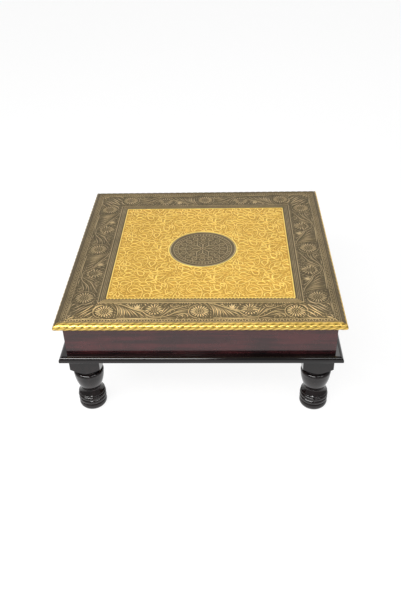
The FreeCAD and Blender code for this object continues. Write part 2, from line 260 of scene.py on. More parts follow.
def petals(work, centre, inner, outer, count, width, turn=0.0, taper=(0.45, 1.0, 0.7)):
    """A ring of raised petals about a centre."""
    for index in range(count):
        angle = 2 * math.pi * (index + turn) / count
        ray = (math.cos(angle), math.sin(angle))
        ends = [tuple(c + r * away for c, r in zip(centre, ray)) for away in (inner, outer)]
        stroke(work, ends, width, taper, step=(outer - inner) / 3)


def ring(work, centre, radius, width, start=0.0, sweep=1.0):
    """A raised ring, or part of one, about a centre."""
    steps = max(8, round(2 * math.pi * radius * sweep / 2.2))
    line = []
    for index in range(steps + 1):
        angle = 2 * math.pi * (start + sweep * index / steps)
        line.append((centre[0] + radius * math.cos(angle), centre[1] + radius * math.sin(angle)))
    work.append((line, [0.5 * width] * len(line)))


def dot(work, centre, width):
    """A round stud, or the eye of a flower."""
    petals(work, centre, -0.2 * width, 0.2 * width, 1, width, taper=(0.7, 1.0, 0.7))


def daisy(work, centre):
    """The border's round flower: a long outer row, a short inner row and a dotted eye."""
    petals(work, centre, 6.4, DAISY_RADIUS - 0.6, 18, 2.5, taper=(0.45, 1.0, 0.8))
    petals(work, centre, 2.6, 5.9, 10, 1.8, turn=0.5)
    dot(work, centre, 2.6)


# The lotus's rows of petals: first angle and span in half turns, how many, where they start and end,
# how much shorter the outer ones are, width, taper and step.
LOTUS_ROWS = (
    (-0.06, 1.12, 9, 4.4, 16.5, 0.13, 2.4, (0.5, 1.0, 0.3), 2.4),
    (1.08, 0.84, 8, 9.5, 14.0, 0.0, 2.6, (0.6, 1.0, 0.7), 1.5),
    (1.15, 0.70, 5, 3.8, 8.0, 0.0, 1.6, (0.4, 1.0, 0.6), 1.5),
)


def lotus(work, centre):
    """The border's pointed flower, which opens towards the middle of the table."""
    for first, span, count, inner, outer, shorter, width, taper, step in LOTUS_ROWS:
        for index in range(count):
            angle = math.pi * (first + span * index / (count - 1))
            reach = outer * (1.0 - shorter * abs(2 * index / (count - 1) - 1))
            ends = [(centre[0] + away * math.cos(angle), centre[1] - away * math.sin(angle))
                    for away in (inner, reach)]
            stroke(work, ends, width, taper, step=step)
    petals(work, centre, 1.2, 3.4, 7, 1.5)


# One repeat of the vine, from a daisy to the next: distance along the side, distance from the middle.
VINE_STEMS = (
    [(13, 168.5), (20, 170), (28, 173), (38, 178.8), (50, 185.6), (60.6, 190), (68, 198), (78, 204.6),
     (92, 203.5)],
    [(38, 175.8), (50, 182.6), (63.6, 188.4), (70, 193)],
    [(92, 203), (100, 194), (109, 185.5), (120, 180), (130, 175), (138, 171)],
    [(90, 206), (103, 201), (116.7, 190.5), (128.8, 186.4), (136, 186.4)],
    [(22, 207.5), (60, 208.6), (84, 207.4), (92, 205)],
)
# Leaves of the vine and their widths. The first few stand side by side, with a rib between each two.
RIBBED_LEAVES = 5
VINE_LEAVES = (
    ([(14.5, 170.5), (19.7, 180), (22.7, 192.4), (21.2, 204.5)], 2.6),
    ([(20, 173), (26.5, 184), (28.6, 197), (25.5, 206.5)], 2.8),
    ([(27, 177.5), (32.6, 189.4), (33.2, 200), (30.5, 206.5)], 2.6),
    ([(32.6, 181), (38.6, 191), (43.2, 201), (43.6, 205.5)], 2.6),
    ([(38.4, 183), (46.5, 191), (53.3, 200), (56.6, 205.5)], 2.6),
    ([(47, 188), (55, 193.5), (62, 200), (66, 206)], 2.4),
    ([(89.4, 201), (92.5, 192), (95, 184), (99, 177)], 2.4),
    ([(92, 199), (97.5, 188.5), (102, 182), (107, 178.6)], 2.4),
    ([(99, 193), (104, 187), (108, 183), (114, 180.6)], 2.0),
    ([(104.5, 203), (115, 199.4), (126, 195.5), (135, 197.5), (138, 205)], 2.2),
    ([(119, 197.6), (125.5, 202), (124.5, 207.5)], 2.4),
    ([(128, 195.6), (134, 201.5), (132.5, 207.5)], 2.4),
    ([(96, 206.5), (106, 207.6), (115, 206.4)], 2.2),
    ([(112, 196), (121, 191.6), (133, 191.6)], 2.2),
    ([(116, 186), (124, 183.4), (133, 181.6)], 1.8),
    ([(58, 187), (60, 180), (64.5, 174.6)], 2.2),
)
VINE_BUDS = (
    ([(52.3, 184), (48.6, 178.4), (46.6, 172.4)], 2.6),
    ([(52.3, 184), (51.2, 176), (50.6, 168.6)], 2.8),
    ([(52.3, 184), (54, 177), (55.6, 169.8)], 2.8),
    ([(52.3, 184), (56, 179.6), (59, 175.6)], 2.4),
    ([(40, 176.6), (36, 172.6), (31, 169.6)], 2.0),
    ([(66, 176), (64.4, 172), (62, 168.6)], 2.0),
)
CORNER_LEAVES = (
    ([(158, 172), (165, 176), (170, 184), (170, 193)], 2.4),
    ([(170, 169.5), (176, 178.6), (184, 188.6), (195, 198.6)], 2.6),
    ([(166, 187), (173, 193), (180, 201), (182, 206.6)], 2.4),
    ([(171, 182), (179, 190), (188, 199), (192, 206.6)], 2.4),
    ([(160, 207.6), (176, 209), (196, 208.6)], 1.8),
    ([(168, 200.6), (172, 205.6), (177, 207)], 2.4),
    ([(197, 203), (203, 206.6), (208.6, 208.4)], 2.4),
    ([(176, 173), (185, 181), (194, 190), (204, 200.6)], 1.8),
)
DAISY_RADIUS = 15.0
DAISY_PITCH = 152.0
DAISY_LINE = 190.0
LOTUS_PLACE = (79.5, 184.5)
ARCH_PLACE = (111.0, 172.4)
STUD_PLACES = ((31.0, 208.6), (42.5, 208.6), (53.0, 208.6), (117.0, 208.6), (141.0, 208.6))
# Plain lines along a strip: distance from the middle, width.
PLAIN_LINES = ((157.4, 1.2), (159.9, 1.3), (162.4, 1.3), (166.2, 1.7), (210.6, 1.5), (216.6, 1.3),
               (219.0, 1.3))
EVEN = (1.0, 1.0, 1.0)
# A row of small bars that slant one way and the other by turns.
BAR_LINE = 213.6
BAR_PITCH = 4.5
BAR_REACH = 1.6
BAR_SLANT = 1.2
BAR_WIDTH = 1.8
BAR_TAPER = (0.8, 1.0, 0.8)
# Rows of places for the small curls between the vine's leaves.
CURL_ROWS = 13
CURL_ROW_PITCH = 3.3
CURL_INNER = 168.6
CURL_FIELD = 168.0
CURL_STEP = 4
CURL_REACH = 208
CURL_ROOM = 2.5


def open_places(work, places, room, repeat=None):
    """Those places that the drawn work leaves open, while more is drawn at them."""
    for x, y in places:
        gaps = ((abs(x - a), abs(y - b)) for line, _ in work for a, b in line)
        if repeat:
            gaps = ((min(a, abs(repeat - a)), min(b, abs(repeat - b))) for a, b in gaps)
        if min(math.hypot(*gap) for gap in gaps) >= room:
            yield x, y


def curl(work, centre, angle, reach, width):
    """A short curved line."""
    run, rise = reach * math.cos(angle), reach * math.sin(angle)
    line = [(centre[0] + far * run - off * rise, centre[1] + far * rise + off * run)
            for far, off in ((-1.0, -0.25), (0.0, 0.2), (1.0, -0.25))]
    stroke(work, line, width, (0.5, 1.0, 0.4), step=1.6)


def vine(work, start):
    """One repeat of the vine, moved along the side."""
    for points in VINE_STEMS:
        stroke(work, [(s + start, n) for s, n in points], 1.9, (0.8, 1.0, 0.7), step=2.6)
    for points, width in VINE_LEAVES:
        stroke(work, [(s + start, n) for s, n in points], 0.8 * width)
    for (points, _), (others, _) in zip(VINE_LEAVES, VINE_LEAVES[1:RIBBED_LEAVES]):
        between = [((a + c) / 2 + start, (b + d) / 2) for (a, b), (c, d) in zip(points, others)]
        stroke(work, between, 1.5)
    for points, width in VINE_BUDS:
        stroke(work, [(s + start, n) for s, n in points], width, (0.35, 1.0, 0.2))
    lotus(work, (LOTUS_PLACE[0] + start, LOTUS_PLACE[1]))
    for s, n in STUD_PLACES:
        dot(work, (s + start, n), 2.4)
    arch = (ARCH_PLACE[0] + start, ARCH_PLACE[1])
    ring(work, arch, radius=6.6, width=1.5, start=0.0, sweep=0.5)
    petals(work, arch, 2.2, 5.2, 9, 1.4)


def curl_places():
    """Staggered places along a strip, row by row, as far as the mitre leaves room."""
    for row in range(CURL_ROWS):
        for s in range(-CURL_REACH, CURL_REACH + 1, CURL_STEP):
            if abs(s) < CURL_FIELD + CURL_ROW_PITCH * row:
                yield s + 0.5 * CURL_STEP * (row % 2), CURL_INNER + CURL_ROW_PITCH * row


def border_pattern():
    """The raised work of one strip, drawn for the front: distance along it, distance from the middle."""
    work = []
    for place in (-DAISY_PITCH, 0.0, DAISY_PITCH):
        daisy(work, (place, DAISY_LINE))
        ring(work, (place, DAISY_LINE), radius=17.6, width=1.5, start=0.28, sweep=0.44)
    for start in (-DAISY_PITCH, 0.0):
        vine(work, start)
    for sign in (-1, 1):
        for points, width in CORNER_LEAVES:
            stroke(work, [(sign * s, n) for s, n in points], width)
    for s, n in open_places(work, curl_places(), CURL_ROOM):
        angle = 0.7 + 1.1 * math.sin(2 * math.pi * s / (DAISY_PITCH / 2) + 0.06 * n)
        curl(work, (s, n), angle, reach=2.4, width=1.5)
    for n, width in PLAIN_LINES:
        stroke(work, [(-n, n), (n, n)], width, EVEN, step=60.0)
    bars = round(2 * BAR_LINE / BAR_PITCH)
    for index in range(bars):
        middle = -BAR_LINE + 2 * BAR_LINE * (index + 0.5) / bars
        slant = -BAR_SLANT if index % 2 else BAR_SLANT
        ends = [(middle - slant, BAR_LINE - BAR_REACH), (middle + slant, BAR_LINE + BAR_REACH)]
        stroke(work, ends, BAR_WIDTH, BAR_TAPER, step=9.0)
    return work


def raised_lines_tree():
    """Turns drawn lines into raised strokes with a round crest. Their 'half' values say how wide."""
    tree = bpy.data.node_groups.new("raised_lines", "GeometryNodeTree")
    face = tree.interface
    face.new_socket("Geometry", in_out="INPUT", socket_type="NodeSocketGeometry")
    for label, value in (("Lift", 0.62), ("Sheet Top", 0.0)):
        face.new_socket(label, in_out="INPUT", socket_type="NodeSocketFloat").default_value = value
    face.new_socket("Finish", in_out="INPUT", socket_type="NodeSocketMaterial")
    face.new_socket("Geometry", in_out="OUTPUT", socket_type="NodeSocketGeometry")

    given = tree.nodes.new("NodeGroupInput").outputs
    line = put(tree, "GeometryNodeMeshToCurve", Mesh=given["Geometry"])
    line = put(tree, "GeometryNodeSetCurveNormal", {"mode": "Z_UP"}, Curve=line)
    arch = put(tree, "GeometryNodeCurveArc", {"mode": "RADIUS"}, Resolution=5, Radius=1.0,
               Start_Angle=math.pi, Sweep_Angle=math.pi)
    arch = put(tree, "GeometryNodeSetSplineCyclic", Geometry=arch, Cyclic=True)
    half = put(tree, "GeometryNodeInputNamedAttribute", {"data_type": "FLOAT"}, Name="half")
    body = put(tree, "GeometryNodeCurveToMesh", Curve=line, Profile_Curve=arch, Scale=half, Fill_Caps=True)
    place = put(tree, "GeometryNodeInputPosition")
    split = tree.nodes.new("ShaderNodeSeparateXYZ")
    tree.links.new(place, split.inputs[0])
    lifted = put(tree, "ShaderNodeMath", {"operation": "MULTIPLY_ADD"}, _0=split.outputs["Z"],
                 _1=given["Lift"], _2=given["Sheet Top"])
    moved = put(tree, "ShaderNodeCombineXYZ", X=split.outputs["X"], Y=split.outputs["Y"], Z=lifted)
    body = put(tree, "GeometryNodeSetPosition", Geometry=body, Position=moved)
    body = put(tree, "GeometryNodeSetShadeSmooth", Geometry=body, Shade_Smooth=True)
    body = put(tree, "GeometryNodeRealizeInstances", Geometry=body)
    body = put(tree, "GeometryNodeSetMaterial", Geometry=body, Material=given["Finish"])
    result = tree.nodes.new("NodeGroupOutput")
    tree.links.new(body, result.inputs[0])
    return tree


def run_tree(source, tree, **values):
    """Runs a node tree on an object and gives back the result as a plain mesh."""
    modifier = source.modifiers.new("nodes", "NODES")
    modifier.node_group = tree
    for item in tree.interface.items_tree:
        label = item.name.replace(" ", "_")
        if item.in_out == "INPUT" and label in values:
            modifier[item.identifier] = values[label]
    graph = bpy.context.evaluated_depsgraph_get()
    mesh = bpy.data.meshes.new_from_object(source.evaluated_get(graph), depsgraph=graph)
    source.modifiers.remove(modifier)
    bpy.data.objects.remove(source)
    return mesh


def plain_mesh(name, corners, faces, edges=()):
    """A mesh from its corners and faces, or edges."""
    made = bpy.data.meshes.new(name)
    made.from_pydata(corners, edges, faces)
    return made


def linked(name, mesh):
    """An object at the origin for a finished mesh."""
    made = bpy.data.objects.new(name, mesh)
    bpy.context.scene.collection.objects.link(made)
    return made


def raise_work(work, place, finish):
    """The mesh of a drawn pattern. Place turns a drawn point into metres on the table."""
    corners, edges, halves = [], [], []
    for line, widths in work:
        first = len(corners)
        corners += [place(point) for point in line]
        halves += [width * MM for width in widths]
        edges += [(index, index + 1) for index in range(first, len(corners) - 1)]
    mesh = plain_mesh("drawn", corners, [], edges)
    mesh.attributes.new("half", "FLOAT", "POINT").data.foreach_set("value", halves)
    return run_tree(linked("drawn", mesh), raised_lines, Sheet_Top=SHEET_TOP, Finish=finish)


def fused(name, meshes, finish):
    """One object from several meshes, in one finish."""
    whole = bmesh.new()
    for mesh in meshes:
        whole.from_mesh(mesh)
    made = bpy.data.meshes.new(name)
    whole.to_mesh(made)
    whole.free()
    made.materials.clear()
    made.materials.append(finish)
    return linked(name, made)


front_low, front_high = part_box("border_front")
panel_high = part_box("centre_panel")[1]
BOARD_TOP = front_low.z
SHEET_TOP = panel_high.z
BORDER_OUTER = -front_low.y / MM
BORDER_INNER = -front_high.y / MM
raised_lines = raised_lines_tree()
# The front strip's colours run lighter than the others': painted highlight. The others' are painted shade.
rubbed_and_lit_colours = ((0.10, (0.100, 0.076, 0.039)), (0.32, (0.220, 0.163, 0.080)),
                  (0.54, (0.74, 0.54, 0.250)), (0.80, (1.00, 0.77, 0.390)))
aged_and_shaded_colours = ((0.10, (0.095, 0.074, 0.043)), (0.32, (0.185, 0.143, 0.079)),
                (0.54, (0.44, 0.335, 0.178)), (0.80, (0.66, 0.50, 0.270)))
border_levels = (SHEET_TOP, SHEET_TOP + 0.8 * MM)
rubbed_brass = embossed_brass("rubbed_brass", border_levels, rubbed_and_lit_colours,
                              roughness=(0.52, 0.36), metal=0.85, punch=900.0)
aged_brass = embossed_brass("aged_brass", border_levels, aged_and_shaded_colours,
                            roughness=(0.54, 0.40), metal=0.85, punch=900.0)


def mitred_strip(turn):
    """The plain strip under the raised work, its ends cut at 45 degrees."""
    inner, outer = BORDER_INNER * MM, BORDER_OUTER * MM
    outline = [turn @ Vector(point) for point in ((-inner, -inner, 0), (-outer, -outer, 0),
                                                  (outer, -outer, 0), (inner, -inner, 0))]
    corners = [(x, y, z) for z in (BOARD_TOP, SHEET_TOP) for x, y, _ in outline]
    faces = [(4, 5, 6, 7), (3, 2, 1, 0), (0, 1, 5, 4), (1, 2, 6, 5), (2, 3, 7, 6), (3, 0, 4, 7)]
    return plain_mesh("strip", corners, faces)


def cut_to(work, inside):
    """Keeps only what lies inside, and cuts a line where it leaves."""
    kept = []
    for line, halves in work:
        for stays, run in itertools.groupby(zip(line, halves), lambda pair: inside(pair[0])):
            run = list(run)
            if stays and len(run) > 1:
                kept.append(([point for point, _ in run], [half for _, half in run]))
    return kept


border_work = cut_to(border_pattern(), lambda point: abs(point[0]) <= point[1] + 0.01)
# The front strip takes the painted-highlight copy, the other three the painted-shade copy.
for quarter, (side, finish) in enumerate((("front", rubbed_brass), ("right", aged_brass),
                                          ("back", aged_brass), ("left", aged_brass))):
    turn = Matrix.Rotation(quarter * math.pi / 2, 3, "Z")
    raised = raise_work(border_work, lambda point: turn @ Vector((point[0], -point[1], 0)) * MM, finish)
    border = fused("vine_border_" + side, (mitred_strip(turn), raised), finish)
    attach(border, "root")
    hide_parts("border_" + side)


# Centre panel
# A square of bright brass sheet with a leafy pattern all over and a round hole for the medallion.

PANEL_HALF = panel_high.x / MM
MEDALLION_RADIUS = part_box("medallion")[1].x / MM
TILE = 98.6
DAISY_PLACE = (-38.4, -129.5)
HOLE_GAP = 0.15
# Small teeth that stand across the panel's front edge.
TOOTH_PITCH = 5.6
TOOTH_LEAN = 0.6
TOOTH_ENDS = (-1.7, 0.4)
TOOTH_WIDTH = 2.6
gold_colours = ((0.10, (0.52, 0.290, 0.050)), (0.32, (0.70, 0.418, 0.078)),
                (0.54, (0.92, 0.630, 0.135)), (0.80, (1.00, 0.780, 0.215)))
panel_levels = (SHEET_TOP, SHEET_TOP + 0.6 * MM)
panel_brass = embossed_brass("panel_brass", panel_levels, gold_colours,
                             roughness=(0.44, 0.30), metal=0.95, punch=520.0)


def leaf(work, root, angle, length, width, outline=1.5, vein=1.2, bend=0.0):
    """A pointed leaf: its two edges and its vein. Bend is how far its middle stands to one side."""
    along = (math.cos(angle), math.sin(angle))
    across = (-along[1], along[0])

    def at(share, off):
        aside = off * width + bend * math.sin(math.pi * share)
        return tuple(r + share * length * a + aside * c for r, a, c in zip(root, along, across))

    for sign in (-1, 1):
        edge = [at(0, 0), at(0.26, sign * 0.42), at(0.56, sign * 0.40), at(0.84, sign * 0.13), at(1.12, 0)]
        stroke(work, edge, outline, (0.8, 1.0, 0.6), step=2.4)
    stroke(work, [at(0.16, 0), at(0.46, 0), at(0.74, 0)], vein, (0.5, 1.0, 0.4), step=3.2)


# One repeat of the panel's pattern, about its daisy: wavy stems, and the leaves that fill what they
# leave open, the large ones first: room, length, width.
JAAL_STEMS = (
    [(-18, -14), (-20, -4), (-17, 6), (-19, 16), (-24, 24), (-20, 33), (-10, 38), (4, 38), (12, 33)],
    [(-19, 16), (-29, 20), (-38, 29), (-39, 41), (-32, 50), (-20, 52), (-11, 58)],
    [(12, 33), (19, 26), (20, 14), (15, 3), (20, -8), (31, -13), (41, -10)],
    [(20, 14), (30, 12), (38, 4), (41, -10), (37, -24), (26, -30), (15, -28)],
    [(-18, -14), (-10, -22), (2, -24), (15, -28), (22, -38), (20, -50)],
    [(-18, -14), (-30, -16), (-40, -24), (-42, -36), (-34, -46), (-22, -47)],
    [(-42, -36), (-52, -33), (-58, -24)],
    [(12, 33), (24, 37), (34, 32), (44, 36), (47, 48)],
)
JAAL_LEAVES = ((8.2, 18.0, 12.0), (6.2, 14.0, 9.0), (4.8, 11.0, 6.6))
JAAL_LEAF_GRID = 3.1
JAAL_CURL_GRID = 2.9
JAAL_CURL_ROOM = 2.7
ROUND_TAPER = (0.6, 1.0, 0.8)
# How many repeats lie on either side of the daisy, across the panel and up it.
TILES_ACROSS = range(-2, 3)
TILES_UP = range(-1, 4)


def tile_places(pitch):
    """Staggered places all over one repeat."""
    steps = range(round(TILE / pitch))
    return [((across + 0.5 * (up % 2)) * TILE / len(steps) - TILE / 2, up * TILE / len(steps) - TILE / 2)
            for up in steps for across in steps]


def jaal_tile():
    """One repeat of the panel's leafy pattern. Small curls fill what stems and leaves leave open."""
    work = []
    petals(work, (0, 0), 3.8, 12.4, 14, 2.0, taper=ROUND_TAPER)
    dot(work, (0, 0), 3.2)
    petals(work, (-5, 49), 2.4, 8.4, 10, 1.9, taper=ROUND_TAPER)
    for points in JAAL_STEMS:
        stroke(work, points, 1.8, (0.9, 1.0, 0.8), step=2.6)
    chance = random.Random(5)
    turn = 2 * math.pi / TILE
    for room, length, width in JAAL_LEAVES:
        for x, y in open_places(work, tile_places(JAAL_LEAF_GRID), room, TILE):
            drift = 0.8 * math.sin(turn * (x + y)) + 0.6 * math.cos(turn * (x - 2 * y))
            angle = drift + 0.8 * chance.random()
            angle += math.pi * chance.choice((0, 1)) - 0.4
            root = (x - 0.5 * length * math.cos(angle), y - 0.5 * length * math.sin(angle))
            leaf(work, root, angle, length, width, outline=2.5, vein=0.8, bend=2.0 * math.cos(angle))
    for x, y in open_places(work, tile_places(JAAL_CURL_GRID), JAAL_CURL_ROOM, TILE):
        curl(work, (x, y), math.pi * chance.random(), reach=2.4, width=1.6)
    return work


def panel_pattern():
    """The leafy pattern over the whole panel, a plain raised edge and a rim round the hole."""
    work = []
    tile = jaal_tile()
    for across in TILES_ACROSS:
        for up in TILES_UP:
            centre = (DAISY_PLACE[0] + across * TILE, DAISY_PLACE[1] + up * TILE)
            work += [([(x + centre[0], y + centre[1]) for x, y in line], halves) for line, halves in tile]
    edge = PANEL_HALF - 2.6
    hole = MEDALLION_RADIUS + 2.4
    work = cut_to(work, lambda p: max(abs(p[0]), abs(p[1])) < edge and math.hypot(*p) > hole)
    rim = PANEL_HALF - 1.1
    corners = [(-rim, -rim), (rim, -rim), (rim, rim), (-rim, rim)]
    for start, end in zip(corners, corners[1:] + corners[:1]):
        work.append(([start, end], [1.0, 1.0]))
    ring(work, (0, 0), MEDALLION_RADIUS + 1.6, width=2.8)
    teeth = round(2 * PANEL_HALF / TOOTH_PITCH)
    for index in range(teeth):
        x = PANEL_HALF * (2 * (index + 0.5) / teeth - 1)
        ends = [(x + lean, -PANEL_HALF + end) for lean, end in zip((-TOOTH_LEAN, TOOTH_LEAN), TOOTH_ENDS)]
        stroke(work, ends, TOOTH_WIDTH, BAR_TAPER, step=9.0)
    return work


EDGE_POINTS = 96


def round_edge(radius):
    """Points round a circle."""
    angles = [2 * math.pi * index / EDGE_POINTS for index in range(EDGE_POINTS)]
    return [(radius * math.cos(angle), radius * math.sin(angle)) for angle in angles]


def square_edge(half):
    """As many points round a square, on the same rays."""
    return [(half * x / max(abs(x), abs(y)), half * y / max(abs(x), abs(y))) for x, y in round_edge(1.0)]


def sheet_with_hole(hole, edge, low, high):
    """A flat sheet between two closed outlines of as many points each."""
    count = len(edge)
    corners = [(x, y, z) for z in (low, high) for outline in (hole, edge) for x, y in outline]
    low_hole, low_edge, top_hole, top_edge = (count * outline for outline in range(4))
    faces = []
    for here in range(count):
        after = (here + 1) % count
        faces += [(top_hole + here, top_edge + here, top_edge + after, top_hole + after),
                  (low_hole + here, low_hole + after, low_edge + after, low_edge + here),
                  (low_edge + here, low_edge + after, top_edge + after, top_edge + here),
                  (low_hole + after, low_hole + here, top_hole + here, top_hole + after)]
    return plain_mesh("sheet", corners, faces)


def on_table(point):
    """A point drawn in millimetres on the top, in metres."""
    return Vector((point[0], point[1], 0)) * MM


hole_edge = round_edge(MEDALLION_RADIUS * MM + HOLE_GAP * MM)
panel_sheet = sheet_with_hole(hole_edge, square_edge(panel_high.x), BOARD_TOP, SHEET_TOP)
panel_raised = raise_work(panel_pattern(), on_table, panel_brass)
panel = fused("leafy_panel", (panel_sheet, panel_raised), panel_brass)
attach(panel, "root")
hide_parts("centre_panel")


# Medallion
# A disc of the same darkened brass as the borders, let into the panel's hole: an eight-petalled
# flower, a ring of arches, a ring of short rays and a plain rim.

medallion_colours = ((0.10, (0.105, 0.081, 0.045)), (0.32, (0.190, 0.146, 0.078)),
                     (0.54, (0.47, 0.360, 0.185)), (0.80, (0.76, 0.580, 0.310)))
medallion_levels = (SHEET_TOP, SHEET_TOP + 0.7 * MM)
medallion_brass = embossed_brass("medallion_brass", medallion_levels, medallion_colours,
                                 roughness=(0.50, 0.36), metal=0.8, punch=900.0)
FLOWER_PETALS = 8
FLOWER_EYE = 3.4
EYE_CIRCLE = 25.4
ARCHES = 16
ARCH_CIRCLE = 32.0
# Plain rings: radius, width.
MEDALLION_RINGS = ((31.0, 1.2), (45.0, 1.3), (52.4, 1.3), (MEDALLION_RADIUS - 1.4, 1.8))


def on_circle(radius, angle):
    """A point on a circle about the middle."""
    return radius * math.cos(angle), radius * math.sin(angle)


def medallion_pattern():
    """The raised work of the disc."""
    work = []
    dot(work, (0, 0), 3.6)
    for index in range(FLOWER_PETALS):
        angle = 2 * math.pi * (index + 0.5) / FLOWER_PETALS
        leaf(work, on_circle(FLOWER_EYE, angle), angle, length=24.0, width=11.5)
        eye = on_circle(EYE_CIRCLE, angle + math.pi / FLOWER_PETALS)
        ring(work, eye, radius=3.4, width=1.3)
        dot(work, eye, 1.8)
    for index in range(ARCHES):
        angle = 2 * math.pi * index / ARCHES
        leaf(work, on_circle(ARCH_CIRCLE, angle), angle, length=11.5, width=10.0)
    petals(work, (0, 0), 46.6, 50.6, 56, 1.6, taper=BAR_TAPER)
    for radius, width in MEDALLION_RINGS:
        ring(work, (0, 0), radius, width)
    return work


def full_disc(outline, low, high):
    """A closed disc with a flat top and bottom."""
    count = len(outline)
    corners = [(x, y, z) for z in (low, high) for x, y in outline]
    faces = [tuple(range(count, 2 * count)), tuple(reversed(range(count)))]
    faces += [(k, (k + 1) % count, count + (k + 1) % count, count + k) for k in range(count)]
    return plain_mesh("disc", corners, faces)


medallion_raised = raise_work(medallion_pattern(), on_table, medallion_brass)
medallion_disc = full_disc(round_edge(MEDALLION_RADIUS * MM), BOARD_TOP, SHEET_TOP)
medallion = fused("flower_medallion", (medallion_disc, medallion_raised), medallion_brass)
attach(medallion, "root")
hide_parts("medallion")


# Rope edge
# A strip of brass rolled with slanting strands, bent round the board's edge and mitred at the
# corners. It laps over the cut edges of the borders. The front one is polished, with painted shade in
# the grooves between its strands; the others are dark on top like the borders and bright on the nose,
# and the right one's bright nose reaches further up, a painted reflection of light from the right.

trim_low, trim_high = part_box("edge_trim_front")
ROPE_NOSE = -trim_low.y
ROPE_LIP = -trim_high.y
ROPE_OVERLAP = 1.5 * MM
ROPE_RADIUS = (trim_high.z - trim_low.z) / 2
ROPE_MIDDLE = (trim_high.z + trim_low.z) / 2
STRAND_PITCH = 12.0 * MM
STRAND_DEPTH = 0.9 * MM
STRAND_SLANT = 1.3
STRAND_FULLNESS = 0.5
ROPE_WALL = 1.15 * MM
ROPE_ARC_STEPS = 16
STRAND_STEPS = 10


def rope_section():
    """Points round the outside of the strip, from its top lip to its bottom lip, with their way out."""
    centre = ROPE_NOSE - ROPE_RADIUS
    section = [(ROPE_LIP - ROPE_OVERLAP, ROPE_MIDDLE + ROPE_RADIUS, 0.0, 1.0)]
    for step in range(ROPE_ARC_STEPS + 1):
        angle = math.pi * (0.5 - step / ROPE_ARC_STEPS)
        out, up = math.cos(angle), math.sin(angle)
        section.append((centre + ROPE_RADIUS * out, ROPE_MIDDLE + ROPE_RADIUS * up, out, up))
    section.append((ROPE_LIP, ROPE_MIDDLE - ROPE_RADIUS, 0.0, -1.0))
    return section


def rope_faces(columns, row):
    """Faces over columns of points, each with a row of outer points and then a row of inner ones."""
    faces = []
    for column in range(columns):
        here, after = 2 * row * column, 2 * row * (column + 1)
        for step in range(row - 1):
            faces.append((here + step, here + step + 1, after + step + 1, after + step))
            inner_here, inner_after = here + row + step, after + row + step
            faces.append((inner_here + 1, inner_here, inner_after, inner_after + 1))
        faces.append((here, after, after + row, here + row))
        faces.append((here + 2 * row - 1, after + 2 * row - 1, after + row - 1, here + row - 1))
    for start, flip in ((0, False), (2 * row * columns, True)):
        for step in range(row - 1):
            cap = (start + step, start + row + step, start + row + step + 1, start + step + 1)
            faces.append(tuple(reversed(cap)) if flip else cap)
    return faces


def rope_trim(name, turn, finish):
    """One side of the rope edge, its ends on the mitre."""
    section = rope_section()
    strands = round(2 * ROPE_NOSE / STRAND_PITCH)
    columns = strands * STRAND_STEPS
    corners, unshaded_shares = [], []
    around = [0.0]
    for (n0, z0, _, _), (n1, z1, _, _) in zip(section, section[1:]):
        around.append(around[-1] + math.hypot(n1 - n0, z1 - z0))
    for column in range(columns + 1):
        share = 2 * column / columns - 1
        for (n, z, out, up), run in zip(section, around):
            phase = (share * n + run * STRAND_SLANT) / STRAND_PITCH
            bulge = abs(math.sin(math.pi * phase)) ** STRAND_FULLNESS
            # 1 on a strand, falling to 0 in the groove between: the front strip's finish reads it as
            # painted shade.
            unshaded_shares.append(bulge)
            sink = STRAND_DEPTH * (1 - bulge)
            far = n - sink * out
            corners.append((share * far, -far, z - sink * up))
        for n, z, out, up in section:
            far = n - ROPE_WALL * out
            corners.append((share * far, -far, z - ROPE_WALL * up))
            unshaded_shares.append(0.0)
    faces = rope_faces(columns, len(section))
    mesh = plain_mesh(name, [turn @ Vector(corner) for corner in corners], faces)
    mesh.attributes.new("crest", "FLOAT", "POINT").data.foreach_set("value", unshaded_shares)
    mesh.polygons.foreach_set("use_smooth", [True] * len(mesh.polygons))
    mesh.materials.append(finish)
    return linked(name, mesh)


rope_colours = ((0.14, (0.120, 0.093, 0.055)), (0.36, (0.190, 0.146, 0.083)),
                (0.62, (0.65, 0.420, 0.080)), (0.88, (0.94, 0.660, 0.180)))
ROPE_TOP = trim_high.z
dull_levels = (ROPE_TOP - 0.8 * MM, ROPE_TOP - 3.6 * MM)
# The right strip's bright band reaches further up than the back and left ones': painted reflection.
worn_and_lit_levels = (ROPE_TOP - 0.4 * MM, ROPE_TOP - 2.4 * MM)
# The front rope takes its colours from the 'crest' values, with painted shade in its grooves.
bright_rope = embossed_brass("bright_rope", None, rope_colours,
                             roughness=(0.46, 0.32), metal=1.0, punch=700.0, beating=0.08)
dull_rope = embossed_brass("dull_rope", dull_levels, rope_colours,
                           roughness=(0.50, 0.36), metal=0.9, punch=700.0, beating=0.12)
worn_rope = embossed_brass("worn_rope", worn_and_lit_levels, rope_colours,
                           roughness=(0.50, 0.40), metal=0.9, punch=700.0, beating=0.12)
for quarter, (side, finish) in enumerate((("front", bright_rope), ("right", worn_rope),
                                          ("back", dull_rope), ("left", dull_rope))):
    trim = rope_trim("rope_edge_" + side, Matrix.Rotation(quarter * math.pi / 2, 3, "Z"), finish)
    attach(trim, "root")
    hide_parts("edge_trim_" + side)


# Floor and backdrop
# A plain white floor and wall, as of a photographer's paper. The camera and reflections see them
# lighter than they light the table, and the floor keeps a soft shadow.

